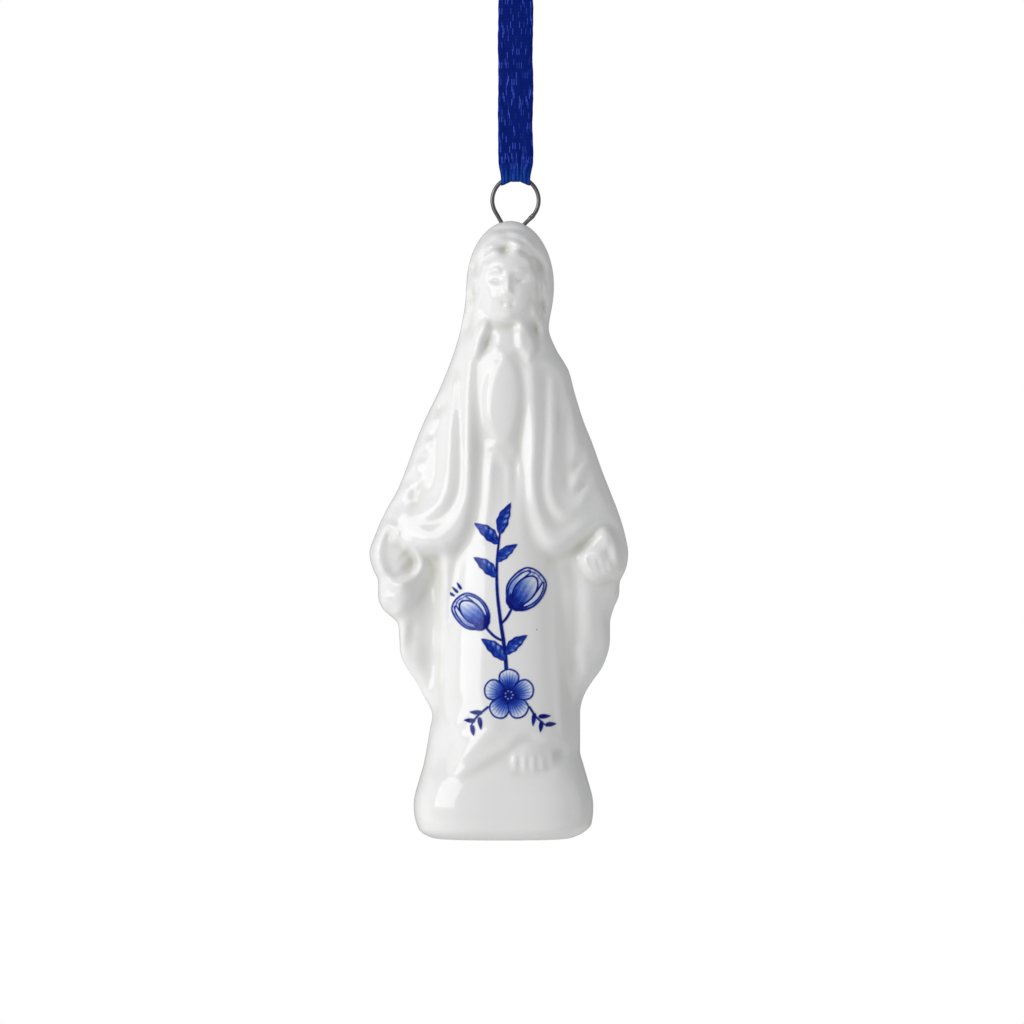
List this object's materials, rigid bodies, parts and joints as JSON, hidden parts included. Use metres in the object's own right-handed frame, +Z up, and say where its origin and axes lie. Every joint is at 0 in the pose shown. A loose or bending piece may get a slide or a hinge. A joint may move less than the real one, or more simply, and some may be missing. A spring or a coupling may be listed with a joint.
{
  "type": "hanging figure ornament",
  "caption": "Hollow porcelain madonna on a pillow base, hung from a wire ring through its crown and a satin ribbon loop.",
  "frame": {"origin": "in the eye of the ribbon loop, just under its knot, where a hook or twig carries the ornament", "axes": "+Z up along the hanging ribbon, +X to the right of a viewer who faces the figure, +Y away from that viewer, so the figure faces -Y"},
  "size_m": [0.0442, 0.0256, 0.1595],
  "materials": {
    "porcelain": "clear gloss glaze over white porcelain, with cobalt blue flower decoration fired in",
    "wire": "dull grey steel wire",
    "ribbon": "royal blue woven satin"
  },
  "bodies": {
    "ribbon": {"ribbon_front": "ribbon", "ribbon_bight": "ribbon", "ribbon_back": "ribbon", "ribbon_knot": "ribbon"},
    "ring": {"wire_ring": "wire"},
    "figure": {"porcelain_figure": "porcelain"}
  },
  "joints": [
    {"name": "ring_turn", "type": "hinge", "parent": "ribbon", "child": "ring", "pos_m": [0, 0, -0.0395], "axis": [0, 1, 0], "range_deg": [-50, 50]},
    {"name": "figure_swing", "type": "hinge", "parent": "ring", "child": "figure", "pos_m": [-0.00045, 0, -0.04405], "axis": [1, 0, 0], "range_deg": [-22, 22]}
  ]
}
